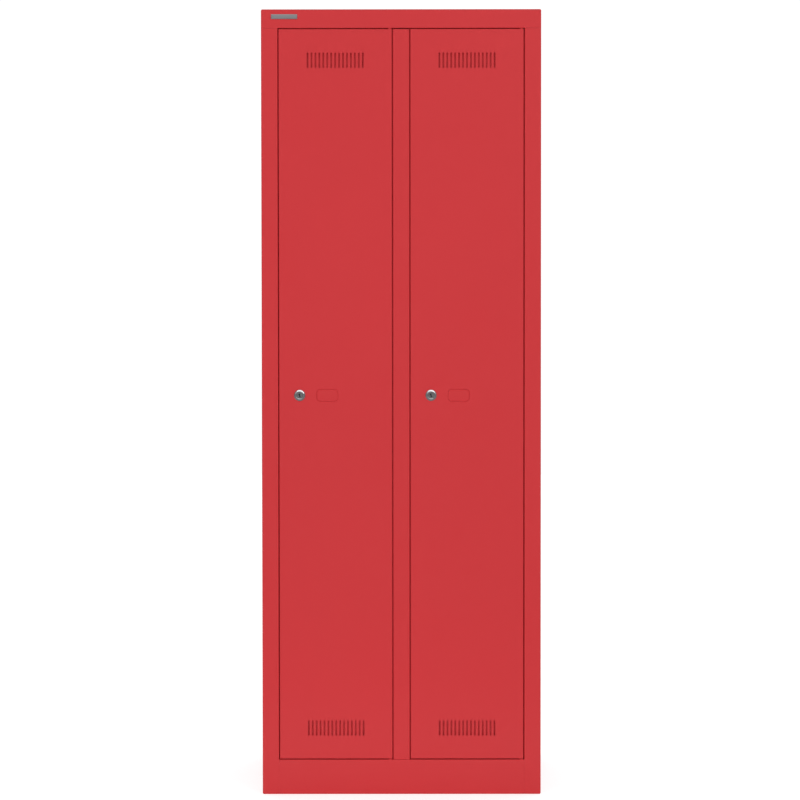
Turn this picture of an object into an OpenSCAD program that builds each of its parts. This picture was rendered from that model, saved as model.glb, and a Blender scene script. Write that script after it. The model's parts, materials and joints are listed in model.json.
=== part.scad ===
// Clothing locker with two bays side by side, welded from folded steel sheet.
// Millimetres. X runs to the right, Y to the back and Z up.
// The origin is on the floor, at the middle of the footprint with the lock faces included.

/* [Carcass] */
// Overall width
body_w = 640; // [600:10:720]
// Depth from the front face to the back
body_d = 500; // [420:10:600]
// Overall height
body_h = 1800; // [1650:10:1950]
// Thickness of the folded sheet
sheet_t = 1; // [0.8:0.1:1.2]
// Radius of the corners seen from the front
corner_r = 4; // [3:0.5:6]
// Outside radius of every other fold
bend_r = 2; // [1.5:0.25:3]
// Width of each side stile
stile_w = 38; // [34:0.5:45]
// Width of the centre stile
centre_stile_w = 38; // [34:1:46]
// Height of the top rail
top_rail_h = 43; // [38:1:60]
// Height of the plinth
plinth_h = 80; // [60:1:110]
// Rise of the floor panel above the plinth
sill_h = 10; // [8:1:16]
// Width of the stop lip behind the edge of each door
lip_w = 10; // [9:0.5:14]
// Width of the return that each piece of the front frame has round the corner
frame_return = 12; // [8:1:20]
// Width of a rear post across the back
post_w = 12; // [10:0.5:16]
// Width of a rear post along the side
post_side_w = 8; // [6:0.5:10]
// Width of both legs of a foot rail
foot_w = 20; // [14:1:25]
// Height of the tongue that joins a side wall to the top cap
tongue_h = 26; // [16:1:32]
// Gap left at a welded seam
seam = 0.3; // [0.2:0.05:0.4]
// Shadow gap above the centre stile
stile_head_gap = 2.5; // [2:0.25:4]

/* [Wall fixing] */
// Distance between the two wall fixing holes
fix_spacing = 320; // [200:10:400]
// Distance of the wall fixing holes below the top
fix_drop = 120; // [80:5:200]
// Diameter of a wall fixing hole
fix_hole_d = 8.5; // [6:0.5:10]

/* [Doors] */
// Gap round each door
door_gap = 2; // [1.75:0.25:3]
// Depth of the door pan
door_d = 16; // [15:0.5:22]
// Outside radius of the folds of the door pan
door_bend_r = 1.5; // [1.25:0.25:2.5]
// Width of the flange folded inwards round the back of the door pan
door_return_w = 15; // [12:0.5:18]
// Room between the back of a door and its stop lip
buffer_gap = 1.5; // [1.25:0.25:3]

/* [Vents] */
// Number of slots in a group
slot_count = 15; // [5:1:19]
// Distance from one slot to the next
slot_pitch = 9; // [8:0.25:11]
// Width of a slot
slot_w = 4; // [2.5:0.25:5]
// Height of a slot
slot_h = 35; // [20:1:60]
// Distance from the end of the door to the middle of a group of slots
slot_inset = 71; // [50:1:100]
// Depth from the front of the door skin to the front of the baffle behind the slots
baffle_depth = 12; // [6:0.5:13]
// Room between the slots and the sides of the baffle
baffle_margin = 6; // [4:0.5:12]
// Width of each foot of a baffle
baffle_foot = 10; // [8:0.5:14]

/* [Number plate recess] */
// Width of the recess
recess_w = 50; // [30:1:60]
// Height of the recess
recess_h = 29; // [20:1:40]
// Corner radius of the recess
recess_r = 9; // [4:0.5:10]
// Depth of the recess
recess_depth = 2.4; // [0.5:0.1:2.5]
// Width of its sloping wall
recess_slope = 1; // [0.5:0.1:2]
// Distance from the lock edge of the door to the middle of the recess
recess_inset = 110.5; // [90:0.5:115]

/* [Stiffener] */
// Width of the crown of the door stiffener
stiffener_w = 34; // [20:1:40]
// Depth of the door stiffener
stiffener_d = 13; // [8:0.5:14]
// Width of each foot of the door stiffener
stiffener_foot = 12; // [8:0.5:14]
// Distance from the hinge edge of the door to the middle of the stiffener
stiffener_inset = 70; // [60:1:80]
// Clear length left at each end of the door stiffener
stiffener_end = 130; // [100:5:300]

/* [Hinges] */
// Diameter of a hinge pin
pin_d = 5; // [4:0.25:5.5]
// Distance from the hinge edge of the door to the pin axis
pin_inset = 5; // [4.75:0.25:6]
// Distance from the front face of the door to the pin axis
pin_depth = 5; // [4.75:0.25:5.5]
// Diameter of the head of a hinge pin
pin_head_d = 7; // [6:0.25:7.5]
// Thickness of the head of a hinge pin
pin_head_t = 2; // [1:0.25:3]
// Running clearance between a pin and its bush, on the radius
pin_clear = 0.05; // [0.02:0.01:0.08]
// Wall of a hinge bush
bush_wall = 1.2; // [0.8:0.1:1.3]
// Length of a hinge bush in the frame
bush_l = 12; // [8:1:18]
// Outer diameter of the collar of a hinge bush
bush_collar_d = 9; // [8:0.25:9.5]
// Clearance between a bush collar and the door
collar_clear = 0.3; // [0.3:0.05:0.5]
// Length of bush left free past the end of a pin
bush_spare = 1; // [0.5:0.25:2]
// Thickness of a hinge bracket
bracket_t = 2; // [1.5:0.25:3]
// Width of a hinge bracket
bracket_w = 16; // [14:1:24]
// Reach of a hinge bracket from the door skin to the back
bracket_reach = 12; // [10:0.5:14]
// Height of a hinge bracket
bracket_h = 26; // [18:1:40]

/* [Locks] */
// Distance from the lock edge of the door to the lock axis
lock_inset = 47; // [36:0.5:56]
// Diameter of the lock bezel
bezel_d = 26; // [23:0.5:28]
// Share of the width of the bezel that is domed
dome_share = 0.93; // [0.3:0.01:0.95]
// How far the lock bezel stands proud of the door
lock_proud = 3; // [2:0.25:4]
// Diameter of the lock barrel
barrel_d = 19; // [17:0.5:20]
// Diameter of the face of the lock cylinder
rotor_face_d = 14.5; // [14:0.5:17]
// Diameter of the lock cylinder inside the barrel
rotor_d = 12; // [10:0.5:13]
// Running clearance of the lock cylinder, on the radius
rotor_clear = 0.05; // [0.02:0.01:0.08]
// How far the face of the lock cylinder lies behind the rim
rotor_set_back = 0.7; // [0.4:0.1:1]
// Height of the key slot
key_h = 9; // [6:0.25:9.5]
// Width of the key slot
key_w = 2.4; // [1:0.1:2.6]
// Depth of the key slot
key_depth = 12; // [6:1:18]
// Angle of the key slot from upright
key_tilt = 12; // [0:1:30]
// Size across the flats of the lock nut
nut_flats = 24; // [22:0.5:27]
// Thickness of the lock nut
nut_t = 4; // [3:0.5:6]
// Thickness of the locking cam
cam_t = 3; // [2:0.25:4]
// Width of the locking cam
cam_w = 15; // [12:0.5:16]
// Side of the square that drives the cam
drive_w = 7; // [5:0.25:8]
// Length of cam that passes behind the stop lip when locked
cam_lap = 6.5; // [5:0.25:6.75]
// Clearance between the cam and its keeper
cam_clear = 0.7; // [0.4:0.1:1]
// Thickness of the cam keeper
keeper_t = 1.5; // [1:0.1:2]
// Height of the cam keeper
keeper_h = 60; // [40:1:80]
// Diameter of the head of the cam screw
screw_head_d = 9; // [8:0.25:11]
// Thickness of the head of the cam screw
screw_head_t = 3; // [2:0.25:4]
// Diameter of the thread of the cam screw
screw_d = 4; // [3:0.25:5]
// Length of the thread of the cam screw
screw_l = 10; // [6:1:14]
// Width of the cross slots in the head of the cam screw
screw_slot_w = 1; // [0.8:0.1:1.4]

/* [Door buffers] */
// Diameter of the cushion of a buffer
buffer_d = 6.5; // [5:0.25:7]
// Clearance between a buffer and the closed door
buffer_clear = 0.3; // [0.3:0.05:0.5]
// Diameter of the stem of a buffer
buffer_stem_d = 3; // [2:0.25:3.5]
// Diameter of the button behind the lip
buffer_button_d = 4.5; // [4:0.25:5]
// Thickness of the button behind the lip
buffer_button_t = 1.2; // [0.8:0.1:2]

/* [Shelf and coat rail] */
// Height of the top of the hat shelf
shelf_z = 1480; // [1300:10:1520]
// Distance from the front of the locker to the front of the shelf
shelf_set_back = 60; // [40:1:120]
// Height of the front edge of the shelf
shelf_edge_h = 25; // [15:1:40]
// Height of the side and rear flanges of the shelf and the floor
tray_flange_h = 15; // [10:1:20]
// Height of the oval coat rail
rail_h = 30; // [25:1:34]
// Width of the oval coat rail
rail_w = 15; // [12:0.5:18]
// Wall of the coat rail
rail_wall = 1.5; // [1:0.1:2]
// Distance from the top of the shelf to the middle of the coat rail
rail_drop = 55; // [45:1:80]
// Clearance round the coat rail
rail_clear = 0.3; // [0.3:0.05:0.5]
// Thickness of a rail hanger
hanger_t = 2; // [1.5:0.25:3]
// Metal round the coat rail in a hanger
hanger_rim = 8; // [5:0.5:10]
// Distance from the wall to the rail hanger
hanger_inset = 25; // [20:1:40]
// Thickness of the flange of a rail end cap
cap_t = 2; // [1.5:0.25:3]
// Gap between a rail end cap and the wall
rail_end_gap = 1; // [0.5:0.1:4]

/* [Coat hooks] */
// Distance from one hook to the next
hook_pitch = 70; // [60:1:75]
// Thickness of a hook
hook_t = 9; // [6:0.5:12]
// Wall of the loop of a hook
hook_wall = 4; // [3:0.25:6]
// Length of the stem of a hook
hook_stem = 20; // [10:1:30]
// Inner radius of the prongs of a hook
prong_r = 15; // [12:0.5:18]
// Thickness of the prongs of a hook
prong_w = 6; // [4:0.5:8]

/* [Badge] */
// Width of the plain badge
badge_w = 60; // [40:1:70]
// Height of the plain badge
badge_h = 11; // [6:0.5:14]
// Thickness of the plain badge
badge_t = 1.2; // [0.8:0.1:2]
// Distance from the left side to the middle of the badge
badge_inset = 53; // [45:1:80]
// Distance from the top to the middle of the badge
badge_drop = 17; // [14:0.5:20]

/* [Hidden] */
$fn = 48;
left = 0;
right = 1;
paint = "#cc3e42";
chrome = "#c8c8cc";
zinc = "#a8abad";
black = "#2b2b2d";
// Facets in the quarter turn of a fold
bend_steps = 4;
// How far a cutting tool reaches past what it cuts
past = 1;

front_y = -(body_d - lock_proud) / 2;
back_y = front_y + body_d;
carcass_low = [-body_w / 2, front_y, 0];
carcass_high = [body_w / 2, back_y, body_h];
open_w = (body_w - 2 * stile_w - centre_stile_w) / 2;
open_top = body_h - top_rail_h;
door_w = open_w - 2 * door_gap;
door_bottom = plinth_h + door_gap;
door_top = open_top - door_gap;
door_mid = (door_bottom + door_top) / 2;
vent_heights = [door_bottom + slot_inset, door_top - slot_inset];
rebate_y = front_y + door_d + buffer_gap;
lip_back_y = rebate_y + sheet_t;
strip_back_y = lip_back_y + sheet_t;
floor_z = plinth_h + sill_h;
rear_face_y = back_y - 2 * sheet_t;
tray_back_y = rear_face_y - sheet_t - seam;
ceiling_z = open_top - sheet_t;
wall_x = carcass_low.x + sheet_t;
edge_x = carcass_low.x + stile_w;
seam_z = open_top - seam;
// Straight run of a sheet before its fold starts
fold_run = 2 * bend_r;
// Overlap of the closing strip with the lips of the centre stile
strip_lap = 2.5;
// Overlap of the closing strip with the top cap
strip_rise = 20;
partition_strip_w = 36;
plinth_tab_w = 12;
// Lap of two runs of one sheet that are drawn apart
lap = sheet_t / 2;
pin_y = front_y + pin_depth;
bush_r = pin_d / 2 + pin_clear + bush_wall;
// Clearance round a bush or a barrel in its sheet
sheet_fit = 0.1;
bracket_gap = 0.4;
// Gap that clears the inside of a fold
fold_gap = 0.8;
// Gap behind the face of the lock cylinder
rotor_gap = 0.3;
// Facets in the quarter turn of the number plate recess
recess_steps = 8;
// Facets in the dome of the bezel
dome_steps = 4;
cam_y = lip_back_y + keeper_t + cam_clear;
barrel_end_y = cam_y - seam;
cam_reach = door_gap + lock_inset - lip_w + cam_lap;
rail_y = front_y + body_d / 2;
rail_z = shelf_z - rail_drop;
hook_r = prong_r + prong_w;
hook_z = rail_z - rail_h / 2 - hook_wall - hook_stem;
// Places of the buffers, as shares of the height of the door
buffer_places = [0.05, 0.35, 0.65, 0.95];

// Left edge of the opening of a bay
function bay_x(bay) = bay == left ? -body_w / 2 + stile_w : centre_stile_w / 2;
// Inner faces of the walls of a bay
function bay_walls(bay) =
    bay == left ? [-body_w / 2 + sheet_t, -sheet_t / 2] : [sheet_t / 2, body_w / 2 - sheet_t];
function bay_middle(bay) = (bay_walls(bay)[0] + bay_walls(bay)[1]) / 2;
function door_x(bay) = bay_x(bay) + door_gap;
function pin_x(bay) = door_x(bay) + door_w - pin_inset;
function lock_x(bay) = door_x(bay) + lock_inset;
function unit(v) = v / norm(v);
function left_of(v) = [-v.y, v.x];
function turned(v, angle) = [v.x * cos(angle) - v.y * sin(angle), v.x * sin(angle) + v.y * cos(angle)];
function arc(centre, r, start, sweep, steps) =
    [for (k = [0 : steps]) centre + r * turned([1, 0], start + sweep * k / steps)];

// One face of a folded sheet. The path is the face on the right of the sheet, which lies off to its left.
function folded_face(path, r, off) = [
    for (i = [0 : len(path) - 1])
        let (
            before = i > 0 ? unit(path[i] - path[i - 1]) : unit(path[1] - path[0]),
            after = i < len(path) - 1 ? unit(path[i + 1] - path[i]) : before,
            angle = atan2(before.x * after.y - before.y * after.x, before * after),
            side = sign(angle),
            path_r = side > 0 ? r : r - sheet_t,
            centre = path[i] - before * path_r * tan(abs(angle) / 2) + left_of(before) * side * path_r
        )
        each (
            side == 0
                ? [path[i] + left_of(before) * off]
                : [for (k = [0 : bend_steps])
                    centre - turned(left_of(before), angle * k / bend_steps) * side * (path_r - side * off)]
        )
];

// Section of a folded sheet along a path
module folded(path, r = bend_r) {
    face = folded_face(path, r, 0);
    other = folded_face(path, r, sheet_t);
    polygon(concat(face, [for (i = [len(other) - 1 : -1 : 0]) other[i]]));
}

// Extrusions of a section between two places on an axis
module along_x(low, high) translate([low, 0, 0]) rotate([90, 0, 90]) linear_extrude(high - low) children();
module along_y(low, high) translate([0, high, 0]) rotate([90, 0, 0]) linear_extrude(high - low) children();
module along_z(low, high) translate([0, 0, low]) linear_extrude(high - low) children();

module slab(low, high) translate(low) cube(high - low);

module round_rect(low, high, r, steps = bend_steps)
    polygon([
        each arc(high - [r, r], r, 0, 90, steps),
        each arc([low.x + r, high.y - r], r, 90, 90, steps),
        each arc(low + [r, r], r, 180, 90, steps),
        each arc([high.x - r, low.y + r], r, 270, 90, steps)
    ]);

// Upright shape with round ends, about the origin
module oval(w, h) {
    square([w, h - w], center = true);
    for (end = [-1, 1]) translate([0, end * (h - w) / 2]) circle(d = w);
}

// Block with every edge rounded: front_r seen from the front, edge_r seen from above and from the side
module rounded_block(low, high, front_r, edge_r)
    intersection() {
        along_z(low.z - past, high.z + past) round_rect([low.x, low.y], [high.x, high.y], edge_r);
        along_y(low.y - past, high.y + past) round_rect([low.x, low.z], [high.x, high.z], front_r);
        along_x(low.x - past, high.x + past) round_rect([low.y, low.z], [high.y, high.z], edge_r);
    }

module rounded_shell(low, high, front_r, edge_r)
    difference() {
        rounded_block(low, high, front_r, edge_r);
        rounded_block(
            low + [sheet_t, sheet_t, sheet_t], high - [sheet_t, sheet_t, sheet_t],
            front_r - sheet_t, edge_r - sheet_t
        );
    }

module carcass_block() rounded_block(carcass_low, carcass_high, corner_r, bend_r);
module carcass_shell() rounded_shell(carcass_low, carcass_high, corner_r, bend_r);

// Copies that stand at both hinges of a door, mirrored about its middle height
module at_both_hinges(bay)
    for (end = [0, 1])
        translate([pin_x(bay), pin_y, door_mid]) mirror([0, 0, end]) children();

module buffer_holes(bay)
    for (place = buffer_places)
        translate([bay_x(bay) + (door_gap + lip_w) / 2, rebate_y - past, door_bottom + place * (door_top - door_bottom)])
            rotate([-90, 0, 0]) cylinder(d = buffer_stem_d + 2 * sheet_fit, h = sheet_t + 2 * past);

// Stile of the left bay: return round the corner, face, rebate and stop lip. Beside the plinth it is flat.
module stile(buffers)
    color(paint)
    difference() {
        intersection() {
            carcass_block();
            union() {
                intersection() {
                    carcass_shell();
                    slab(carcass_low - [past, past, past], [edge_x - bend_r, front_y + frame_return, seam_z]);
                }
                slab([edge_x - fold_run, front_y, 0], [edge_x, front_y + sheet_t, plinth_h]);
                along_z(plinth_h - lap, seam_z)
                    folded([
                        [edge_x - fold_run, front_y], [edge_x, front_y],
                        [edge_x, rebate_y], [edge_x + lip_w, rebate_y]
                    ]);
            }
        }
        if (buffers) buffer_holes(left);
    }

module left_stile() stile(true);
module right_stile() mirror([1, 0, 0]) stile(false);

// Flat wall between the stile and the rear post, with a tongue that rises behind the top cap
module left_side_wall() {
    low_y = front_y + frame_return + seam;
    high_y = back_y - post_side_w - seam;
    tongue_z = seam_z - tongue_h;
    color(paint) {
        slab([carcass_low.x, low_y, 0], [wall_x, high_y, seam_z]);
        slab([wall_x, low_y + tongue_h, tongue_z], [wall_x + sheet_t, high_y - tongue_h, seam_z + tongue_h]);
        slab([wall_x - lap, low_y + tongue_h, tongue_z], [wall_x + lap, high_y - tongue_h, seam_z - seam]);
    }
}

module right_side_wall() mirror([1, 0, 0]) left_side_wall();

// Folded posts at the two rear corners
module rear_posts()
    color(paint)
    for (side = [0, 1]) mirror([side, 0, 0])
        intersection() {
            carcass_shell();
            slab(
                [carcass_low.x - past, back_y - post_side_w, -past],
                [carcass_low.x + post_w, back_y + past, seam_z]
            );
        }

// Angles welded inside the foot of the side walls
module foot_rails()
    color(paint)
    for (side = [0, 1]) mirror([side, 0, 0])
        along_y(front_y + frame_return + seam, back_y - post_side_w - seam)
            folded([[wall_x, foot_w], [wall_x, 0], [wall_x + foot_w, 0]]);

// Holes for the hinge bushes of both doors through a flange whose underside is at z
module bush_holes(z, thickness)
    for (bay = [left, right])
        translate([pin_x(bay), pin_y, z - past]) cylinder(r = bush_r + sheet_fit, h = thickness + 2 * past);

// Roof, skirts and front rail, with a return under the front rail
module top_cap() {
    face_z = open_top + fold_run;
    fold_z = open_top + bend_r;
    side_x = body_w / 2;
    color(paint)
    difference() {
        union() {
            intersection() {
                carcass_shell();
                union() {
                    slab([-side_x - past, front_y - past, fold_z], carcass_high + [past, past, past]);
                    slab([-side_x - past, front_y + sheet_t, open_top], [side_x + past, back_y + past, face_z]);
                    for (side = [0, 1]) mirror([side, 0, 0])
                        slab([-side_x - past, front_y - past, open_top], [edge_x, front_y + sheet_t, face_z]);
                }
            }
            along_x(edge_x - lap, lap - edge_x)
                folded([[front_y, face_z], [front_y, open_top], [front_y + frame_return, open_top]]);
        }
        bush_holes(open_top, sheet_t);
    }
}

// Strip on the return of the top cap, with the lip that stops the heads of the doors
module door_head() {
    lip_x = body_w / 2 - stile_w - lip_w - seam;
    head_z = open_top + sheet_t;
    color(paint)
    difference() {
        union() {
            along_x(edge_x, -edge_x)
                folded([[front_y + bend_r, head_z], [rebate_y - bend_r, head_z]]);
            along_x(-lip_x, lip_x)
                folded([
                    [rebate_y - bend_r - lap, head_z], [rebate_y, head_z], [rebate_y, open_top - lip_w]
                ]);
        }
        bush_holes(head_z, sheet_t);
    }
}

// Flat ceiling of both bays, which closes the top cap from below
module ceiling_panel() {
    side_x = -wall_x - sheet_t - seam;
    color(paint)
    slab([-side_x, strip_back_y + seam, ceiling_z], [side_x, rear_face_y - seam, open_top]);
}

module back_panel() {
    side_x = body_w / 2 - bend_r - seam;
    color(paint)
    difference() {
        slab([-side_x, rear_face_y, bend_r + seam], [side_x, back_y - sheet_t, body_h - fold_run]);
        for (side = [-1, 1])
            translate([side * fix_spacing / 2, rear_face_y - past, body_h - fix_drop])
                rotate([-90, 0, 0]) cylinder(d = fix_hole_d, h = sheet_t + 2 * past);
    }
}

// Kick plate between the stiles, with its foot and head flanges, and a tab behind each stile
module plinth() {
    side_x = body_w / 2 - stile_w - seam;
    color(paint)
    difference() {
        union() {
            along_x(-side_x, side_x)
                folded([
                    [rebate_y - fold_gap, plinth_h], [front_y, plinth_h],
                    [front_y, 0], [rebate_y - fold_gap, 0]
                ]);
            for (side = [0, 1]) mirror([side, 0, 0]) {
                slab(
                    [-side_x, front_y + lap, lap],
                    [-side_x + sheet_t, rebate_y - bend_r, plinth_h - lap]
                );
                slab(
                    [-side_x - plinth_tab_w, front_y + sheet_t + seam, lap],
                    [-side_x + lap, front_y + 2 * sheet_t + seam, plinth_h - fold_run]
                );
            }
        }
        bush_holes(plinth_h - sheet_t, sheet_t);
    }
}

// Floor of both bays, raised on a sill that stops the feet of the doors
module floor_panel() {
    side_x = body_w / 2 - sheet_t - seam;
    lip_x = body_w / 2 - stile_w - lip_w - seam;
    low_z = floor_z - tray_flange_h;
    rear_y = rear_face_y - seam;
    front_edge_y = rebate_y + fold_run;
    color(paint) {
        along_x(-side_x, side_x) folded([[rear_y, low_z], [rear_y, floor_z], [front_edge_y, floor_z]]);
        along_x(-lip_x, lip_x)
            folded([
                [front_edge_y + lap, floor_z], [rebate_y, floor_z], [rebate_y, plinth_h - tray_flange_h]
            ]);
        for (side = [0, 1]) mirror([side, 0, 0])
            slab([side_x - sheet_t, front_edge_y, low_z], [side_x, rear_y - bend_r, floor_z - lap]);
    }
}

// Post between the doors, a hat section with a stop lip at each side
module centre_stile() {
    half = centre_stile_w / 2;
    head_z = open_top - stile_head_gap;
    color(paint)
    difference() {
        along_z(plinth_h + seam, head_z)
            folded([
                [-half - lip_w, rebate_y], [-half, rebate_y], [-half, front_y],
                [half, front_y], [half, rebate_y], [half + lip_w, rebate_y]
            ]);
        for (cut = [[plinth_h - past, floor_z + seam], [open_top - lip_w - seam, open_top + past]])
            slab([-half - lip_w - past, rebate_y - seam, cut[0]], [half + lip_w + past, lip_back_y + past, cut[1]]);
        buffer_holes(right);
    }
}

// Flat strip that closes the back of the centre stile and ties it to the top cap
module stile_closing_strip()
    color(paint)
    slab(
        [-centre_stile_w / 2 - strip_lap, lip_back_y, floor_z],
        [centre_stile_w / 2 + strip_lap, strip_back_y, open_top + strip_rise]
    );

module centre_partition()
    color(paint)
    slab([-sheet_t / 2, strip_back_y, floor_z], [sheet_t / 2, rear_face_y - sheet_t, ceiling_z - seam]);

// Flat strip on the back panel that the partition is welded to
module partition_rear_strip()
    color(paint)
    slab(
        [-partition_strip_w / 2, rear_face_y - sheet_t, floor_z],
        [partition_strip_w / 2, rear_face_y, ceiling_z - seam]
    );

module hat_shelf(bay) {
    low_x = bay_walls(bay)[0] + seam;
    high_x = bay_walls(bay)[1] - seam;
    shelf_y = front_y + shelf_set_back;
    edge_z = shelf_z - shelf_edge_h;
    color(paint) {
        along_x(low_x, high_x)
            folded([
                [tray_back_y, shelf_z - tray_flange_h], [tray_back_y, shelf_z],
                [shelf_y, shelf_z], [shelf_y, edge_z], [shelf_y + tray_flange_h, edge_z]
            ]);
        for (x = [low_x, high_x - sheet_t])
            slab(
                [x, shelf_y + bend_r, shelf_z - tray_flange_h],
                [x + sheet_t, tray_back_y - bend_r, shelf_z - lap]
            );
    }
}

module rail_section(grow = 0) oval(rail_w + 2 * grow, rail_h + 2 * grow);

function rail_ends(bay) = [bay_walls(bay)[0] + rail_end_gap + cap_t, bay_walls(bay)[1] - rail_end_gap - cap_t];

module coat_rail(bay)
    color(chrome)
    translate([0, rail_y, rail_z])
        along_x(rail_ends(bay)[0], rail_ends(bay)[1])
            difference() {
                rail_section();
                rail_section(-rail_wall);
            }

// Pair of hangers welded under the shelf, which hold the rail
module rail_hangers(bay) {
    top_z = shelf_z - sheet_t - rail_z;
    half_w = rail_w / 2 + hanger_rim;
    color(zinc)
    for (end = [0, 1])
        translate([bay_middle(bay), rail_y, rail_z]) mirror([end, 0, 0])
            translate([bay_walls(bay)[0] - bay_middle(bay) + hanger_inset, 0, 0]) {
                along_x(0, hanger_t)
                    difference() {
                        union() {
                            translate([-half_w, 0]) square([2 * half_w, top_z]);
                            rail_section(hanger_rim);
                        }
                        rail_section(rail_clear);
                    }
                slab([-hanger_rim, -half_w, top_z - hanger_t], [hanger_t / 2, half_w, top_z]);
            }
}

// Plastic plugs that close the ends of the rail
module rail_end_caps(bay)
    color(black)
    for (end = [0, 1])
        translate([bay_middle(bay), rail_y, rail_z]) mirror([end, 0, 0])
            translate([rail_ends(bay)[0] - bay_middle(bay), 0, 0]) {
                along_x(-cap_t, 0) rail_section(cap_t / 2);
                along_x(-cap_t / 2, rail_h / 2) rail_section(-rail_wall - rail_clear);
            }

// Hook that slides on the rail, with a prong to the front and one to the back
module hook(bay, place)
    color(black)
    translate([bay_middle(bay) + place * hook_pitch, rail_y, rail_z])
        along_x(-hook_t / 2, hook_t / 2) {
            difference() {
                rail_section(hook_wall);
                rail_section(rail_clear);
            }
            translate([-prong_w / 2, hook_z - rail_z - hook_r + prong_w / 2])
                square([prong_w, rail_z - rail_h / 2 - hook_z + hook_r - prong_w]);
            translate([0, hook_z - rail_z]) {
                difference() {
                    circle(r = hook_r);
                    circle(r = prong_r);
                    translate([-hook_r - past, 0]) square(2 * (hook_r + past));
                }
                for (side = [-1, 1]) translate([side * (prong_r + prong_w / 2), 0]) circle(d = prong_w * 1.4);
            }
        }

// Bushes in the door head and the plinth, with the collars that fill the gap round the pins
module hinge_bushes(bay) {
    frame_z = open_top - door_mid;
    color(paint)
    at_both_hinges(bay)
        difference() {
            union() {
                translate([0, 0, frame_z - door_gap + collar_clear])
                    cylinder(d = bush_collar_d, h = door_gap - collar_clear);
                translate([0, 0, frame_z - door_gap + collar_clear])
                    cylinder(r = bush_r, h = bush_l + door_gap - collar_clear);
            }
            translate([0, 0, frame_z - door_gap]) cylinder(r = pin_d / 2 + pin_clear, h = door_gap + bush_l + past);
        }
}

// Rubber buffers pushed through the stop lip, which the closed door rests on
module door_buffers(bay)
    color(black)
    for (place = buffer_places)
        translate([bay_x(bay) + (door_gap + lip_w) / 2, rebate_y, door_bottom + place * (door_top - door_bottom)])
            rotate([-90, 0, 0]) {
                translate([0, 0, buffer_clear - buffer_gap]) cylinder(d = buffer_d, h = buffer_gap - buffer_clear);
                translate([0, 0, -buffer_gap / 2])
                    cylinder(d = buffer_stem_d, h = (buffer_gap + buffer_button_t) / 2 + sheet_t);
                translate([0, 0, sheet_t]) cylinder(d1 = buffer_button_d, d2 = buffer_stem_d, h = buffer_button_t);
            }

// Plate behind the stop lip that the cam slides onto, with a ramp at each end
module cam_keeper(bay)
    color(zinc)
    along_x(bay_x(bay) + strip_lap + seam, bay_x(bay) + lip_w)
        translate([lip_back_y, door_mid])
            polygon([
                [0, -keeper_h / 2], [0, keeper_h / 2],
                [keeper_t, keeper_h / 2 - 4 * keeper_t], [keeper_t, -keeper_h / 2 + 4 * keeper_t]
            ]);

module badge_plate()
    color(zinc)
    translate([carcass_low.x + badge_inset, front_y, body_h - badge_drop]) {
        along_y(-badge_t / 2, 0) square([badge_w, badge_h], center = true);
        along_y(-badge_t, -badge_t / 4) square([badge_w - badge_t, badge_h - badge_t], center = true);
    }

// Outline of the number plate recess, in from its rim by inset
module recess_outline(inset)
    round_rect(
        [inset - recess_w / 2, inset - recess_h / 2],
        [recess_w / 2 - inset, recess_h / 2 - inset],
        recess_r - inset, recess_steps
    );

// Plug with sloping walls in the shape of the recess, from the front face to its floor
module recess_plug(grow)
    hull() {
        along_y(-past, 0) recess_outline(-grow);
        along_y(-past, recess_depth) recess_outline(recess_slope - grow);
    }

module vent_slots(bay)
    for (end_z = vent_heights)
        along_y(front_y - past, front_y + sheet_t + past)
            for (k = [0 : slot_count - 1])
                translate([door_x(bay) + door_w / 2 + (k - (slot_count - 1) / 2) * slot_pitch, end_z])
                    oval(slot_w, slot_h);

// Outer skin of a door: a pan folded on four sides, with a second fold round its back
module door_pan(bay) {
    low = [door_x(bay), front_y, door_bottom];
    high = [door_x(bay) + door_w, front_y + door_d, door_top];
    edge = door_return_w;
    color(paint)
    difference() {
        union() {
            difference() {
                rounded_shell(low, high, door_bend_r, door_bend_r);
                slab([low.x + edge, high.y - 2 * sheet_t, low.z + edge], [high.x - edge, high.y + past, high.z - edge]);
            }
            intersection() {
                translate([low.x + recess_inset, front_y + sheet_t, door_mid]) recess_plug(sheet_t / 2);
                slab([low.x, front_y + sheet_t / 2, low.z], [high.x, high.y, high.z]);
            }
        }
        translate([low.x + recess_inset, front_y, door_mid]) recess_plug(0);
        vent_slots(bay);
        translate([lock_x(bay), front_y - past, door_mid]) rotate([-90, 0, 0])
            cylinder(r = barrel_d / 2 + sheet_fit, h = sheet_t + 2 * past);
        at_both_hinges(bay)
            translate([0, 0, door_top - door_mid - sheet_t - past])
                cylinder(r = pin_d / 2 + sheet_fit, h = sheet_t + 2 * past);
    }
}

// Hat section welded to the inside of a door skin, about a middle line
module hat_section(middle, half, crown_y, foot) {
    foot_y = front_y + sheet_t;
    folded([
        [middle - half - foot, foot_y], [middle - half, foot_y], [middle - half, crown_y],
        [middle + half, crown_y], [middle + half, foot_y], [middle + half + foot, foot_y]
    ]);
}

module door_stiffener(bay)
    color(paint)
    along_z(door_bottom + stiffener_end, door_top - stiffener_end)
        hat_section(
            door_x(bay) + door_w - stiffener_inset, stiffener_w / 2,
            front_y + stiffener_d, stiffener_foot
        );

// Plates behind the vents, open above and below, which keep things from being poked through the slots
module vent_baffles(bay)
    color(paint)
    for (end_z = vent_heights)
        along_z(end_z - slot_h / 2 - baffle_margin, end_z + slot_h / 2 + baffle_margin)
            hat_section(
                door_x(bay) + door_w / 2, (slot_count - 1) / 2 * slot_pitch + slot_w / 2 + baffle_margin,
                front_y + baffle_depth, baffle_foot
            );

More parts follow.
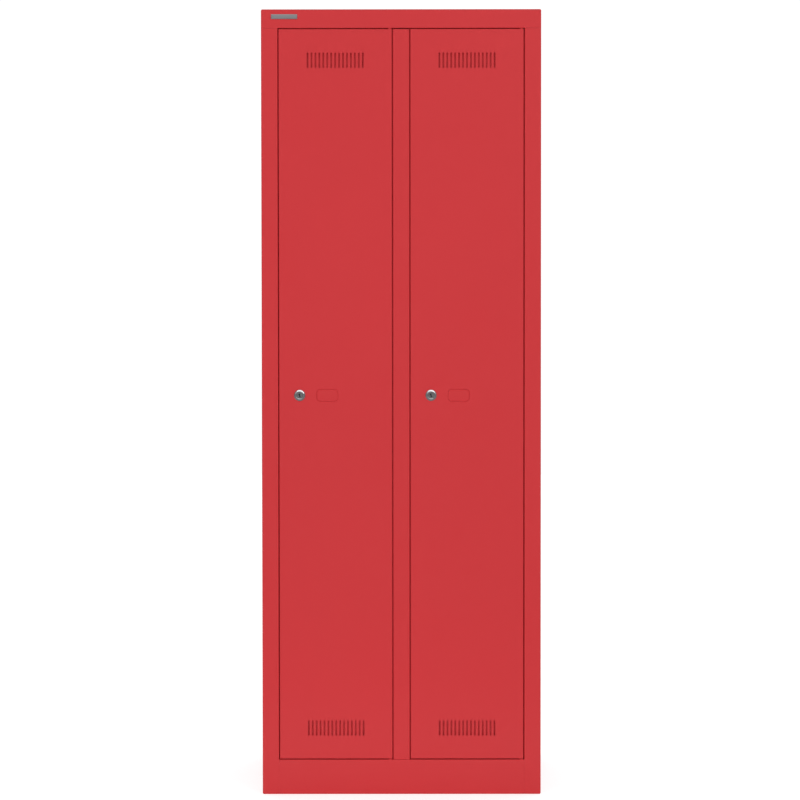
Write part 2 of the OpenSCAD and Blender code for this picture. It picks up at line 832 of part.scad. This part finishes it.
// Brackets in the hinge corners of a door, each with two ears that carry the pin
module hinge_brackets(bay) {
    top_z = door_top - door_mid - sheet_t - bracket_gap;
    outer_x = pin_inset - sheet_t - bracket_gap;
    low_y = sheet_t + bracket_gap - pin_depth;
    color(zinc)
    at_both_hinges(bay)
        difference() {
            union() {
                for (z = [top_z, top_z - bracket_h + bracket_t])
                    slab([outer_x - bracket_w, low_y, z - bracket_t], [outer_x, low_y + bracket_reach, z]);
                slab(
                    [outer_x - bracket_w, low_y, top_z - bracket_h],
                    [outer_x - bracket_w + bracket_t, low_y + bracket_reach, top_z]
                );
            }
            translate([0, 0, top_z - bracket_h - past])
                cylinder(r = pin_d / 2 + pin_clear, h = bracket_h + 2 * past);
        }
}

module hinge_pins(bay) {
    frame_z = open_top - door_mid;
    foot_z = door_top - door_mid - sheet_t - bracket_gap - bracket_h;
    color(zinc)
    at_both_hinges(bay) {
        translate([0, 0, foot_z - pin_head_t / 2])
            cylinder(d = pin_d, h = frame_z + bush_l - bush_spare - foot_z + pin_head_t / 2);
        translate([0, 0, foot_z - pin_head_t]) cylinder(d = pin_head_d, h = pin_head_t);
    }
}

// Solid turned about the lock axis, from a section of [radius, distance behind the front face]
module lock_turned(bay, section)
    translate([lock_x(bay), front_y, door_mid]) rotate([-90, 0, 0]) rotate_extrude() polygon(section);

module lock_housing(bay) {
    bezel_r = bezel_d / 2;
    rim_z = lock_proud / 3;
    face_r = rotor_face_d / 2 + 2 * rotor_clear;
    dome_w = dome_share * (bezel_r - face_r - rotor_set_back);
    seat = -sheet_fit;
    color(chrome)
    lock_turned(bay, [
        [rotor_d / 2 + rotor_clear, seat], [face_r, seat], [face_r, -lock_proud + rotor_set_back],
        [face_r + rotor_set_back, -lock_proud],
        each [for (k = [0 : dome_steps])
            let (angle = 90 * k / dome_steps)
            [bezel_r - dome_w * (1 - sin(angle)), -rim_z - (lock_proud - rim_z) * cos(angle)]],
        [bezel_r, 0], [barrel_d / 2, 0],
        [barrel_d / 2, barrel_end_y - front_y], [rotor_d / 2 + rotor_clear, barrel_end_y - front_y]
    ]);
}

module lock_nut(bay)
    color(zinc)
    translate([lock_x(bay), front_y + sheet_t, door_mid]) rotate([-90, 0, 0])
        difference() {
            cylinder(d = nut_flats / cos(30), h = nut_t, $fn = 6);
            translate([0, 0, -past]) cylinder(r = barrel_d / 2 + sheet_fit, h = nut_t + 2 * past);
        }

// Cylinder with the key slot, which turns in the housing and drives the cam
module lock_cylinder(bay) {
    face_y = front_y - lock_proud + rotor_set_back;
    back_of_drive = cam_y + cam_t;
    color(chrome)
    difference() {
        union() {
            lock_turned(bay, [
                [0, face_y - front_y], [rotor_face_d / 2, face_y - front_y],
                [rotor_face_d / 2, -sheet_fit - rotor_gap], [rotor_d / 2, -sheet_fit - rotor_gap],
                [rotor_d / 2, barrel_end_y - front_y], [0, barrel_end_y - front_y]
            ]);
            translate([lock_x(bay), 0, door_mid])
                along_y(barrel_end_y - drive_w, back_of_drive) square(drive_w, center = true);
        }
        translate([lock_x(bay), 0, door_mid]) {
            rotate([0, -key_tilt, 0])
                along_y(face_y - past, face_y + key_depth) {
                    square([key_w, key_h], center = true);
                    translate([-key_w, key_h / 8]) square([key_w, key_h / 4]);
                }
            translate([0, back_of_drive - screw_l, 0]) rotate([-90, 0, 0])
                cylinder(r = screw_d / 2 + pin_clear, h = screw_l + past);
        }
    }
}

// Flat cam, hanging straight down when unlocked
module lock_cam(bay)
    color(zinc)
    translate([lock_x(bay), 0, door_mid])
        along_y(cam_y, cam_y + cam_t)
            difference() {
                round_rect([-cam_w / 2, -cam_reach], [cam_w / 2, cam_w * 0.6], cam_w / 3);
                square(drive_w + 2 * sheet_fit, center = true);
            }

module cam_screw(bay)
    color(zinc)
    translate([lock_x(bay), cam_y + cam_t, door_mid]) rotate([-90, 0, 0])
        difference() {
            union() {
                translate([0, 0, -screw_l]) cylinder(d = screw_d, h = screw_l + screw_head_t / 2);
                cylinder(d1 = screw_head_d, d2 = screw_head_d * 0.7, h = screw_head_t);
            }
            for (turn = [0, 90]) rotate([0, 0, turn])
                translate([0, 0, screw_head_t]) cube([screw_d, screw_slot_w, screw_head_t], center = true);
        }

left_stile();
right_stile();
left_side_wall();
right_side_wall();
rear_posts();
foot_rails();
back_panel();
top_cap();
door_head();
ceiling_panel();
floor_panel();
plinth();
centre_stile();
stile_closing_strip();
centre_partition();
partition_rear_strip();
hat_shelf(left);  // left_hat_shelf
hat_shelf(right);  // right_hat_shelf
coat_rail(left);  // left_coat_rail
coat_rail(right);  // right_coat_rail
rail_hangers(left);  // left_rail_hangers
rail_hangers(right);  // right_rail_hangers
rail_end_caps(left);  // left_rail_end_caps
rail_end_caps(right);  // right_rail_end_caps
hook(left, -1);  // left_hook_1
hook(left, 0);  // left_hook_2
hook(left, 1);  // left_hook_3
hook(right, -1);  // right_hook_1
hook(right, 0);  // right_hook_2
hook(right, 1);  // right_hook_3
hinge_bushes(left);  // left_hinge_bushes
hinge_bushes(right);  // right_hinge_bushes
door_buffers(left);  // left_door_buffers
door_buffers(right);  // right_door_buffers
cam_keeper(left);  // left_cam_keeper
cam_keeper(right);  // right_cam_keeper
badge_plate();
door_pan(left);  // left_door_pan
door_pan(right);  // right_door_pan
door_stiffener(left);  // left_door_stiffener
door_stiffener(right);  // right_door_stiffener
vent_baffles(left);  // left_vent_baffles
vent_baffles(right);  // right_vent_baffles
hinge_brackets(left);  // left_hinge_brackets
hinge_brackets(right);  // right_hinge_brackets
hinge_pins(left);  // left_hinge_pins
hinge_pins(right);  // right_hinge_pins
lock_housing(left);  // left_lock_housing
lock_housing(right);  // right_lock_housing
lock_nut(left);  // left_lock_nut
lock_nut(right);  // right_lock_nut
lock_cylinder(left);  // left_lock_cylinder
lock_cylinder(right);  // right_lock_cylinder
lock_cam(left);  // left_lock_cam
lock_cam(right);  // right_lock_cam
cam_screw(left);  // left_cam_screw
cam_screw(right);  // right_cam_screw
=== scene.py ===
"""Clothing locker: finishes, light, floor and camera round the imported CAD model. Metres."""

import json
import math

import bpy
from mathutils import Matrix, Vector

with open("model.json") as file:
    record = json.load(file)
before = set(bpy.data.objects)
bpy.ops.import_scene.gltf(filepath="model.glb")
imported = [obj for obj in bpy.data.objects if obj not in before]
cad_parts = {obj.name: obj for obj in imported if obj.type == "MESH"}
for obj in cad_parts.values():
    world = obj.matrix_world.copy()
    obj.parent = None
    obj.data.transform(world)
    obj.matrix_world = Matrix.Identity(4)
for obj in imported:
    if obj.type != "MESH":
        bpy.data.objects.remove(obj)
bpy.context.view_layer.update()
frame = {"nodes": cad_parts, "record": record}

# Camera fitted to the edges in the photograph; lens and sensor are in millimetres
CAMERA_PLACE = (0.007, -5.2485, 1.0365)
CAMERA_PITCH_DOWN = math.radians(1.474)
CAMERA_YAW_LEFT = math.radians(0.116)
CAMERA_ROLL = math.radians(0.05)
CAMERA_LENS = 98.2
CAMERA_SENSOR = 36.0
CAMERA_NEAR = 0.1
CAMERA_FAR = 100.0

# Linear colours
WHITE = (1.0, 1.0, 1.0)
FLOOR_PALE = (0.86, 0.86, 0.86)
PAINT_RED = (0.62, 0.03, 0.036)
PAINT_EDGE = (0.68, 0.06, 0.068)
PAINT_DEEP = (0.58, 0.026, 0.032)
RAIL_CHROME = (0.8, 0.8, 0.82)
LOCK_CHROME = (0.74, 0.74, 0.76)
CHROME_EDGE = (0.92, 0.92, 0.93)
# Near black painted into the gaps and holes of chrome as shade
PAINTED_SHADE = (0.03, 0.028, 0.026)
ZINC_LIGHT = (0.62, 0.63, 0.64)
ZINC_DARK = (0.45, 0.46, 0.48)
ZINC_EDGE = (0.8, 0.8, 0.8)
PLASTIC_BLACK = (0.018, 0.018, 0.02)
PLASTIC_FADED = (0.03, 0.03, 0.032)
PLASTIC_WORN = (0.12, 0.12, 0.125)
RUBBER_BLACK = (0.02, 0.02, 0.02)
RUBBER_DUSTY = (0.045, 0.043, 0.04)
BADGE_LIGHT = (0.47, 0.47, 0.485)
BADGE_DARK = (0.35, 0.35, 0.365)

# How far the paint turns to its deep tone, and its middle roughness
PAINT_SHADING = 0.35
PAINT_ROUGHNESS = 0.42
# Share of its tone that chrome keeps where it is hazy, and how much rougher it is there
CHROME_HAZE_TONE = 0.72
CHROME_HAZE_ROUGHNESS = 0.12
# How far a spangle of the zinc turns to its dark tone
ZINC_SPANGLE = 0.6
# Index of refraction of the finishes that aren't metal
PAINT_INDEX = 1.45
PLASTIC_INDEX = 1.49
RUBBER_INDEX = 1.4
# How far the brushing of the badge stretches what it mirrors
BADGE_BRUSHING = 0.5
FLOOR_ROUGHNESS = 0.8

# A noise texture stays mostly between these values
NOISE_SPAN = (0.3, 0.7)
# Samples for finding folds and cut edges, and for finding narrow gaps
EDGE_SAMPLES = 4
OPENNESS_SAMPLES = 6

# Width of the rounded edges by node ending; the others take the default, and 0 leaves the cut edges
EDGE_WIDTHS = {"lock_housing": 0.0003, "lock_cylinder": 0.0, "cam_screw": 0.0}
DEFAULT_EDGE_WIDTH = 0.00025
EDGE_SEGMENTS = 2
EDGE_ANGLE = math.radians(35)
FLAT_ANGLE = math.radians(0.5)
WELD_DISTANCE = 0.00002
FLAT_FACE_WEIGHT = 80

# Half the width of the square floor
FLOOR_REACH = 12.0

# Soft light of the surroundings, from the front, from the sides and from behind
LIGHT_FRONT = 0.44
LIGHT_ROUND = 0.54
LIGHT_BACK = 1.0
# White that the camera sees behind the locker, and what the floor adds to its own light for the camera
WORLD_WHITE = 1.05
FLOOR_GLOW = 0.58
# What shiny surfaces mirror: the floor, the dark room in front, and a wide soft box overhead
MIRRORED_FLOOR = 0.22
MIRRORED_ROOM = 0.16
MIRRORED_BOX = 1.3
# Where the soft box fades in above the horizon and out to the sides, and where the room turns white
# towards the back, along the axes of a direction of length 1
BOX_RISE = (0.08, 0.3)
BOX_SIDES = (0.3, 0.55)
ROOM_BACK = (0.0, 0.25)


class NodeTree:
    """Short calls for building the node tree of a material or of the world."""

    def __init__(self, owner, output_kind="ShaderNodeOutputMaterial"):
        self.owner = owner
        owner.use_nodes = True
        self.tree = owner.node_tree
        self.tree.nodes.clear()
        self.output = self.tree.nodes.new(output_kind)

    @classmethod
    def material(cls, name):
        return cls(bpy.data.materials.new(name))

    def show(self, node):
        """Makes the node the surface of the owner, and gives back the owner."""
        self.link(node.outputs[0], self.output.inputs["Surface"])
        return self.owner

    def add(self, kind, **values):
        node = self.tree.nodes.new(kind)
        for key, value in values.items():
            setattr(node, key, value)
        return node

    def link(self, source, target):
        self.tree.links.new(source, target)

    def feed(self, value, target):
        """Puts the output of a node, a colour or a number into an input."""
        if hasattr(value, "is_linked"):
            self.link(value, target)
        elif isinstance(value, tuple):
            target.default_value = (*value, 1.0)
        else:
            target.default_value = value

    def principled(self, **values):
        """Principled shader; an underscore stands for a space in the name of an input."""
        node = self.add("ShaderNodeBsdfPrincipled")
        for key, value in values.items():
            self.feed(value, node.inputs[key.replace("_", " ")])
        return node

    def glow(self, kind, strength):
        """White light from a surface or from the world."""
        node = self.add(kind)
        self.feed(WHITE, node.inputs["Color"])
        self.feed(strength, node.inputs["Strength"])
        return node

    def coords(self, scale=(1, 1, 1)):
        source = self.add("ShaderNodeTexCoord")
        mapping = self.add("ShaderNodeMapping")
        mapping.inputs["Scale"].default_value = scale
        self.link(source.outputs["Object"], mapping.inputs["Vector"])
        return mapping.outputs["Vector"]

    def noise(self, vector, scale, detail, roughness=0.55):
        node = self.add("ShaderNodeTexNoise")
        node.inputs["Scale"].default_value = scale
        node.inputs["Detail"].default_value = detail
        node.inputs["Roughness"].default_value = roughness
        self.link(vector, node.inputs["Vector"])
        return node.outputs["Fac"]

    def cells(self, vector, scale):
        """One even value between 0 and 1 for each cell of a crystal pattern."""
        pattern = self.add("ShaderNodeTexVoronoi")
        pattern.inputs["Scale"].default_value = scale
        self.link(vector, pattern.inputs["Vector"])
        parts = self.add("ShaderNodeSeparateColor")
        self.link(pattern.outputs["Color"], parts.inputs[0])
        return parts.outputs[0]

    def spread(self, value, target, source=NOISE_SPAN):
        """The value carried over from one span of numbers to another."""
        node = self.add("ShaderNodeMapRange")
        ends = {"From Min": source[0], "From Max": source[1], "To Min": target[0], "To Max": target[1]}
        for key, end in ends.items():
            node.inputs[key].default_value = end
        self.link(value, node.inputs["Value"])
        return node.outputs["Result"]

    def mix(self, factor, first, second):
        """Mixes two colours, which have inputs 6 and 7 and output 2 of the node."""
        node = self.add("ShaderNodeMix", data_type="RGBA")
        for value, index in ((factor, 0), (first, 6), (second, 7)):
            self.feed(value, node.inputs[index])
        return node.outputs[2]

    def math(self, operation, first, second=0.0):
        node = self.add("ShaderNodeMath", operation=operation)
        self.feed(first, node.inputs[0])
        self.feed(second, node.inputs[1])
        return node.outputs[0]

    def edges(self, radius):
        """About 0 on flat faces, rising towards 1 on folds and cut edges."""
        bevel = self.add("ShaderNodeBevel", samples=EDGE_SAMPLES)
        bevel.inputs["Radius"].default_value = radius
        geometry = self.add("ShaderNodeNewGeometry")
        dot = self.add("ShaderNodeVectorMath", operation="DOT_PRODUCT")
        self.link(bevel.outputs["Normal"], dot.inputs[0])
        self.link(geometry.outputs["Normal"], dot.inputs[1])
        return self.math("SUBTRACT", 1.0, dot.outputs["Value"])

    def openness(self, distance):
        """1 on open faces, falling towards 0 in narrow gaps and holes."""
        shelter = self.add("ShaderNodeAmbientOcclusion", samples=OPENNESS_SAMPLES)
        shelter.inputs["Distance"].default_value = distance
        return shelter.outputs["AO"]

    def bump(self, height, strength, distance, over=None):
        """Relief of the height, on top of another relief where one is given."""
        node = self.add("ShaderNodeBump")
        node.inputs["Strength"].default_value = strength
        node.inputs["Distance"].default_value = distance
        self.link(height, node.inputs["Height"])
        if over is not None:
            self.link(over, node.inputs["Normal"])
        return node.outputs["Normal"]


def red_paint():
    """Stoved paint: a slow change of tone, rubbed edges, smudges, orange peel and slow waves."""
    tree = NodeTree.material("red_paint")
    at = tree.coords()
    shade = tree.spread(tree.noise(at, scale=2.3, detail=4.0), (0.0, 1.0))
    flat = tree.mix(tree.math("MULTIPLY", shade, PAINT_SHADING), PAINT_RED, PAINT_DEEP)
    edge = tree.spread(tree.edges(radius=0.0012), (0.0, 1.0), source=(0.02, 0.3))
    patches = tree.spread(tree.noise(at, scale=60.0, detail=4.0), (0.0, 0.6), source=(0.4, 0.7))
    colour = tree.mix(tree.math("MULTIPLY", edge, patches), flat, PAINT_EDGE)
    smudges = tree.spread(tree.noise(at, scale=9.0, detail=5.0, roughness=0.6), (-0.05, 0.07))
    grain = tree.spread(tree.noise(at, scale=240.0, detail=2.0), (-0.02, 0.02))
    rough = tree.math("ADD", tree.math("ADD", smudges, grain), PAINT_ROUGHNESS)
    waves = tree.bump(tree.noise(at, scale=5.0, detail=2.0), strength=0.2, distance=0.0012)
    peel = tree.noise(at, scale=420.0, detail=2.0)
    relief = tree.bump(peel, strength=0.12, distance=0.0002, over=waves)
    return tree.show(tree.principled(Base_Color=colour, Roughness=rough, Normal=relief, IOR=PAINT_INDEX))


def chrome(name, tone, roughness, scratch_scale, unevenness):
    """Plated metal: haze, bright edges, painted shade in its gaps and holes, and scratches on a slow
    unevenness.
    """
    tree = NodeTree.material(name)
    at = tree.coords()
    haze = tree.noise(at, scale=90.0, detail=5.0, roughness=0.65)
    hazy_tone = tuple(CHROME_HAZE_TONE * channel for channel in tone)
    dull = tree.mix(tree.spread(haze, (0.0, 0.35)), tone, hazy_tone)
    edge = tree.spread(tree.edges(radius=0.0005), (0.0, 0.5), source=(0.02, 0.4))
    bright = tree.mix(edge, dull, CHROME_EDGE)
    # Painted shade: the chrome turns to near black where narrow gaps and holes keep the light out
    painted_shade = tree.spread(tree.openness(distance=0.006), (1.0, 0.0), source=(0.25, 0.6))
    colour = tree.mix(painted_shade, bright, PAINTED_SHADE)
    rough = tree.spread(haze, (roughness, roughness + CHROME_HAZE_ROUGHNESS))
    casting = tree.bump(tree.noise(at, scale=120.0, detail=1.0), strength=1.0, distance=unevenness)
    scratches = tree.noise(tree.coords(scratch_scale), scale=30.0, detail=6.0, roughness=0.7)
    relief = tree.bump(scratches, strength=0.08, distance=0.0001, over=casting)
    return tree.show(tree.principled(Base_Color=colour, Roughness=rough, Normal=relief, Metallic=1.0))


def zinc_plated_steel():
    """Bright zinc with a spangle of crystal cells and rubbed edges."""
    tree = NodeTree.material("zinc_plated_steel")
    at = tree.coords()
    spangle = tree.math("MULTIPLY", tree.cells(at, scale=160.0), ZINC_SPANGLE)
    flat = tree.mix(spangle, ZINC_LIGHT, ZINC_DARK)
    edge = tree.spread(tree.edges(radius=0.0006), (0.0, 0.6), source=(0.02, 0.4))
    colour = tree.mix(edge, flat, ZINC_EDGE)
    rough = tree.spread(tree.noise(at, scale=140.0, detail=4.0), (0.28, 0.5))
    relief = tree.bump(tree.noise(at, scale=700.0, detail=3.0), strength=0.1, distance=0.0001)
    return tree.show(tree.principled(Base_Color=colour, Roughness=rough, Normal=relief, Metallic=1.0))


def black_plastic():
    """Moulded plastic with a fine grain, slightly faded and worn grey at its edges."""
    tree = NodeTree.material("black_plastic")
    at = tree.coords()
    fading = tree.spread(tree.noise(at, scale=35.0, detail=4.0), (0.0, 1.0))
    body = tree.mix(fading, PLASTIC_BLACK, PLASTIC_FADED)
    edge = tree.spread(tree.edges(radius=0.0008), (0.0, 1.0), source=(0.02, 0.4))
    wear = tree.math("MULTIPLY", edge, tree.noise(at, scale=120.0, detail=4.0))
    colour = tree.mix(wear, body, PLASTIC_WORN)
    rough = tree.spread(tree.noise(at, scale=55.0, detail=5.0), (0.4, 0.6))
    relief = tree.bump(tree.noise(at, scale=1500.0, detail=2.0), strength=0.25, distance=0.0001)
    return tree.show(tree.principled(Base_Color=colour, Roughness=rough, Normal=relief, IOR=PLASTIC_INDEX))


def buffer_rubber():
    """Dull black rubber with a little dust."""
    tree = NodeTree.material("buffer_rubber")
    at = tree.coords()
    colour = tree.mix(tree.noise(at, scale=300.0, detail=4.0), RUBBER_BLACK, RUBBER_DUSTY)
    rough = tree.spread(tree.noise(at, scale=200.0, detail=3.0), (0.7, 0.9))
    relief = tree.bump(tree.noise(at, scale=900.0, detail=3.0), strength=0.3, distance=0.0001)
    return tree.show(tree.principled(Base_Color=colour, Roughness=rough, Normal=relief, IOR=RUBBER_INDEX))


def badge_aluminium():
    """Aluminium brushed along its length."""
    tree = NodeTree.material("badge_aluminium")
    lines = tree.noise(tree.coords((4.0, 1.0, 900.0)), scale=6.0, detail=5.0, roughness=0.7)
    shader = tree.principled(
        Base_Color=tree.mix(tree.spread(lines, (0.0, 1.0)), BADGE_LIGHT, BADGE_DARK),
        Roughness=tree.spread(lines, (0.25, 0.42)),
        Normal=tree.bump(lines, strength=0.15, distance=0.00008),
        Metallic=1.0,
        Anisotropic=BADGE_BRUSHING,
    )
    return tree.show(shader)


def rail_chrome():
    """Drawn tube: nearly even, with fine scratches along its length."""
    return chrome("rail_chrome", RAIL_CHROME, roughness=0.08,
                  scratch_scale=(3.0, 200.0, 200.0), unevenness=0.00002)


def lock_chrome():
    """Cast and plated housing: scratches run into the door, and its face is uneven."""
    return chrome("lock_chrome", LOCK_CHROME, roughness=0.1,
                  scratch_scale=(160.0, 20.0, 160.0), unevenness=0.0007)


def finishes():
    """The materials by the names of their slots in the frame."""
    return {
        "red_paint": red_paint(),
        "rail_chrome": rail_chrome(),
        "lock_chrome": lock_chrome(),
        "zinc_plated_steel": zinc_plated_steel(),
        "black_plastic": black_plastic(),
        "buffer_rubber": buffer_rubber(),
        "badge_aluminium": badge_aluminium(),
    }


def smooth_edges(node, width, sheet):
    """Rounds the cut edges with modifiers, so the vertices of the CAD mesh stay as they are."""
    mesh = node.data
    for name in ("custom_normal", "sharp_edge", "sharp_face"):
        if name in mesh.attributes:
            mesh.attributes.remove(mesh.attributes[name])
    mesh.shade_smooth()
    weld = node.modifiers.new("weld", "WELD")
    weld.merge_threshold = WELD_DISTANCE
    if sheet:
        flat = node.modifiers.new("flat faces", "DECIMATE")
        flat.decimate_type = "DISSOLVE"
        flat.angle_limit = FLAT_ANGLE
    bevel = node.modifiers.new("edges", "BEVEL")
    bevel.width = width
    bevel.segments = EDGE_SEGMENTS
    bevel.limit_method = "ANGLE"
    bevel.angle_limit = EDGE_ANGLE
    bevel.use_clamp_overlap = True
    bevel.miter_outer = "MITER_ARC"
    node.modifiers.new("normals", "WEIGHTED_NORMAL").weight = FLAT_FACE_WEIGHT


def edge_width(name):
    matches = (width for ending, width in EDGE_WIDTHS.items() if name.endswith(ending))
    return next(matches, DEFAULT_EDGE_WIDTH)


def dress_nodes(materials):
    slots = {part["node"]: part["material_slot"] for part in frame["record"]["subparts"]}
    for name, node in frame["nodes"].items():
        node.data.materials.clear()
        node.data.materials.append(materials[slots[name]])
        if edge_width(name) > 0:
            smooth_edges(node, edge_width(name), sheet=slots[name] == "red_paint")


def make_floor():
    """Pale floor that looks white to the camera and still takes the shadow of the locker."""
    mesh = bpy.data.meshes.new("floor")
    signs = ((-1, -1), (1, -1), (1, 1), (-1, 1))
    corners = [(x * FLOOR_REACH, y * FLOOR_REACH, 0) for x, y in signs]
    mesh.from_pydata(corners, [], [(0, 1, 2, 3)])
    floor = bpy.data.objects.new("floor", mesh)
    bpy.context.scene.collection.objects.link(floor)
    tree = NodeTree.material("floor_white")
    rays = tree.add("ShaderNodeLightPath").outputs
    matt = tree.principled(Base_Color=FLOOR_PALE, Roughness=FLOOR_ROUGHNESS)
    shine = tree.glow("ShaderNodeEmission", tree.math("MULTIPLY", rays["Is Camera Ray"], FLOOR_GLOW))
    lit = tree.add("ShaderNodeAddShader")
    tree.link(matt.outputs[0], lit.inputs[0])
    tree.link(shine.outputs[0], lit.inputs[1])
    mirrored = tree.glow("ShaderNodeEmission", MIRRORED_FLOOR)
    surface = tree.add("ShaderNodeMixShader")
    for index, source in enumerate((rays["Is Glossy Ray"], lit.outputs[0], mirrored.outputs[0])):
        tree.link(source, surface.inputs[index])
    mesh.materials.append(tree.show(surface))


def make_world():
    """Even light, white behind the locker, and a dark room with a soft box for shiny surfaces."""
    world = bpy.data.worlds.new("studio")
    bpy.context.scene.world = world
    tree = NodeTree(world, "ShaderNodeOutputWorld")
    rays = tree.add("ShaderNodeLightPath").outputs
    split = tree.add("ShaderNodeSeparateXYZ")
    tree.link(tree.add("ShaderNodeTexCoord").outputs["Generated"], split.inputs[0])
    aside, back, up = split.outputs
    above = tree.spread(up, (0.0, 1.0), source=BOX_RISE)
    middle = tree.spread(tree.math("ABSOLUTE", aside), (1.0, 0.0), source=BOX_SIDES)
    box = tree.math("MULTIPLY", above, middle)
    room = tree.spread(box, (MIRRORED_ROOM, MIRRORED_BOX), source=(0.0, 1.0))
    white_back = tree.spread(back, (0.0, WORLD_WHITE), source=ROOM_BACK)
    mirrored = tree.math("MAXIMUM", room, white_back)
    front_half = tree.spread(back, (LIGHT_FRONT, LIGHT_ROUND), source=(-1.0, 0.0))
    back_half = tree.spread(back, (0.0, LIGHT_BACK - LIGHT_ROUND), source=(0.0, 1.0))
    around = tree.math("ADD", front_half, back_half)
    seen = tree.math("MAXIMUM", rays["Is Camera Ray"], rays["Is Transmission Ray"])
    glossy = rays["Is Glossy Ray"]
    matt = tree.math("SUBTRACT", 1.0, tree.math("MAXIMUM", seen, glossy))
    strength = tree.math("MULTIPLY", matt, around)
    for share, light in ((seen, WORLD_WHITE), (glossy, mirrored)):
        strength = tree.math("ADD", strength, tree.math("MULTIPLY", share, light))
    tree.show(tree.glow("ShaderNodeBackground", strength))


def area_light(name, place, aim, size, power, mirrored=False):
    """Lamp of a width and a height in metres, with its power in watts."""
    data = bpy.data.lights.new(name, "AREA")
    data.shape = "RECTANGLE"
    data.size, data.size_y = size
    data.energy = power
    lamp = bpy.data.objects.new(name, data)
    bpy.context.scene.collection.objects.link(lamp)
    lamp.location = place
    lamp.rotation_mode = "QUATERNION"
    lamp.rotation_quaternion = (Vector(aim) - Vector(place)).to_track_quat("-Z", "Y")
    lamp.visible_glossy = mirrored


def make_lamps():
    """Two wide lamps right and left, one by the camera, and a strip for the light off the floor."""
    area_light("key", (2.4, -4.4, 3.2), aim=(0, 0, 0.9), size=(2.2, 2.2), power=21, mirrored=True)
    area_light("fill", (-3.0, -3.8, 0.9), aim=(0, 0, 0.6), size=(2.0, 2.0), power=19)
    area_light("front", (0.0, -5.4, 0.8), aim=(0, 0, 0.8), size=(0.6, 0.6), power=76)
    area_light("bounce", (0.0, -0.6, 0.04), aim=(0, 0, 0.04), size=(0.9, 0.05), power=0.26)


def make_camera():
    data = bpy.data.cameras.new("camera")
    data.lens = CAMERA_LENS
    data.sensor_width = CAMERA_SENSOR
    data.clip_start = CAMERA_NEAR
    data.clip_end = CAMERA_FAR
    camera = bpy.data.objects.new("camera", data)
    bpy.context.scene.collection.objects.link(camera)
    yaw, pitch, roll = CAMERA_YAW_LEFT, CAMERA_PITCH_DOWN, CAMERA_ROLL
    right = Vector((math.cos(yaw), math.sin(yaw), 0))
    forward = Vector((
        -math.sin(yaw) * math.cos(pitch),
        math.cos(yaw) * math.cos(pitch),
        -math.sin(pitch),
    ))
    up = right.cross(forward)
    x_axis = right * math.cos(roll) - up * math.sin(roll)
    y_axis = right * math.sin(roll) + up * math.cos(roll)
    turn = Matrix((x_axis, y_axis, -forward)).transposed().to_4x4()
    camera.matrix_world = Matrix.Translation(CAMERA_PLACE) @ turn
    bpy.context.scene.camera = camera


dress_nodes(finishes())
make_floor()
make_world()
make_lamps()
make_camera()
bpy.context.scene.view_settings.view_transform = "Standard"
